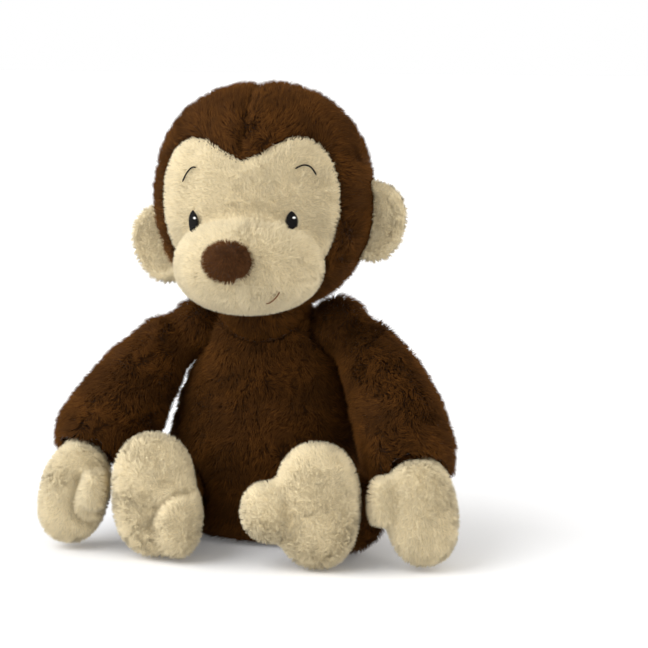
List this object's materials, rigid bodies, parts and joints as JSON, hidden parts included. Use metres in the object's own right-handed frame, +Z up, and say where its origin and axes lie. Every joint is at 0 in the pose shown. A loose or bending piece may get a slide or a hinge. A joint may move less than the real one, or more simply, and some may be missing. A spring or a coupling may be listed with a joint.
{
  "type": "stuffed monkey",
  "caption": "Seated plush monkey with long-pile body, short-pile face, ears, hands and feet, and soft turning head, ears and limbs.",
  "frame": {"origin": "on the floor, under the middle of the body, in the seat's flat face", "axes": "+Z up, -Y the way the monkey faces, +X towards its left side"},
  "size_m": [0.2542, 0.1549, 0.275],
  "materials": {
    "long_brown_plush": "long-pile brown plush, matt",
    "short_beige_plush": "short-pile beige plush, matt",
    "nose_plush": "short dark brown plush",
    "black_embroidery": "satin stitch thread",
    "white_embroidery": "satin stitch thread",
    "fibre_filling": "loose polyester fibre",
    "bean_filling": "plastic pellets in a cloth bag",
    "label_tape": "woven tape, blank"
  },
  "bodies": {
    "torso": {"torso_front": "long_brown_plush", "torso_back_right": "long_brown_plush", "torso_back_left": "long_brown_plush", "torso_base": "long_brown_plush", "torso_stuffing": "fibre_filling", "seat_bean_bag": "bean_filling", "care_label": "label_tape"},
    "neck": {"neck_plug": "long_brown_plush"},
    "head": {"head_crown_right": "long_brown_plush", "head_crown_left": "long_brown_plush", "head_back_right": "long_brown_plush", "head_back_left": "long_brown_plush", "face_panel": "short_beige_plush", "muzzle_panel": "short_beige_plush", "nose_pad": "nose_plush", "head_stuffing": "fibre_filling", "brow_right": "black_embroidery", "brow_left": "black_embroidery", "mouth_stitch": "nose_plush", "eye_right": "black_embroidery", "eye_left": "black_embroidery", "eye_glint_right": "white_embroidery", "eye_glint_left": "white_embroidery"},
    "ear_right": {"ear_right_front": "short_beige_plush", "ear_right_back": "short_beige_plush"},
    "shoulder_right": {"shoulder_right_wad": "fibre_filling"},
    "arm_right": {"arm_right_sleeve": "long_brown_plush", "arm_right_stuffing": "fibre_filling"},
    "hand_right": {"hand_right_front": "short_beige_plush", "hand_right_back": "short_beige_plush", "hand_right_stuffing": "fibre_filling"},
    "leg_right": {"leg_right_top": "long_brown_plush", "leg_right_bottom": "long_brown_plush", "leg_right_stuffing": "fibre_filling"},
    "foot_right": {"foot_right_sole": "short_beige_plush", "foot_right_upper": "short_beige_plush", "foot_right_stuffing": "fibre_filling"},
    "ear_left": {"ear_left_front": "short_beige_plush", "ear_left_back": "short_beige_plush"},
    "shoulder_left": {"shoulder_left_wad": "fibre_filling"},
    "arm_left": {"arm_left_sleeve": "long_brown_plush", "arm_left_stuffing": "fibre_filling"},
    "hand_left": {"hand_left_front": "short_beige_plush", "hand_left_back": "short_beige_plush", "hand_left_stuffing": "fibre_filling"},
    "leg_left": {"leg_left_top": "long_brown_plush", "leg_left_bottom": "long_brown_plush", "leg_left_stuffing": "fibre_filling"},
    "foot_left": {"foot_left_sole": "short_beige_plush", "foot_left_upper": "short_beige_plush", "foot_left_stuffing": "fibre_filling"}
  },
  "joints": [
    {"name": "neck_turn", "type": "hinge", "parent": "torso", "child": "neck", "pos_m": [0, -0.008, 0.141], "axis": [0, 0, 1], "range_deg": [-30, 30]},
    {"name": "head_nod", "type": "hinge", "parent": "neck", "child": "head", "pos_m": [0, -0.008, 0.141], "axis": [1, 0, 0], "range_deg": [-8, 8]},
    {"name": "ear_right_fold", "type": "hinge", "parent": "head", "child": "ear_right", "pos_m": [-0.063, -0.014, 0.178], "axis": [0, 0, 1], "range_deg": [-15, 15]},
    {"name": "shoulder_right_swing", "type": "hinge", "parent": "torso", "child": "shoulder_right", "pos_m": [-0.044, -0.005, 0.126], "axis": [-1, 0, 0], "range_deg": [-3, 60]},
    {"name": "shoulder_right_spread", "type": "hinge", "parent": "shoulder_right", "child": "arm_right", "pos_m": [-0.044, -0.005, 0.126], "axis": [0, 1, 0], "range_deg": [0, 35]},
    {"name": "wrist_right_bend", "type": "hinge", "parent": "arm_right", "child": "hand_right", "pos_m": [-0.101, -0.056, 0.053], "axis": [-1, 0, 0], "range_deg": [-8, 8]},
    {"name": "hip_right_swing", "type": "hinge", "parent": "torso", "child": "leg_right", "pos_m": [-0.049, -0.026, 0.026], "axis": [-1, 0, 0], "range_deg": [-15, 8]},
    {"name": "ankle_right_bend", "type": "hinge", "parent": "leg_right", "child": "foot_right", "pos_m": [-0.046, -0.061, 0.03], "axis": [-1, 0, 0], "range_deg": [-10, 10]},
    {"name": "ear_left_fold", "type": "hinge", "parent": "head", "child": "ear_left", "pos_m": [0.067, -0.014, 0.196], "axis": [0, 0, 1], "range_deg": [-15, 15]},
    {"name": "shoulder_left_swing", "type": "hinge", "parent": "torso", "child": "shoulder_left", "pos_m": [0.045, -0.005, 0.131], "axis": [-1, 0, 0], "range_deg": [-3, 60]},
    {"name": "shoulder_left_spread", "type": "hinge", "parent": "shoulder_left", "child": "arm_left", "pos_m": [0.045, -0.005, 0.131], "axis": [0, -1, 0], "range_deg": [0, 35]},
    {"name": "wrist_left_bend", "type": "hinge", "parent": "arm_left", "child": "hand_left", "pos_m": [0.1055, -0.054, 0.052], "axis": [-1, 0, 0], "range_deg": [-8, 8]},
    {"name": "hip_left_swing", "type": "hinge", "parent": "torso", "child": "leg_left", "pos_m": [0.05, -0.026, 0.026], "axis": [-1, 0, 0], "range_deg": [-15, 8]},
    {"name": "ankle_left_bend", "type": "hinge", "parent": "leg_left", "child": "foot_left", "pos_m": [0.05, -0.061, 0.03], "axis": [-1, 0, 0], "range_deg": [-10, 10]}
  ]
}
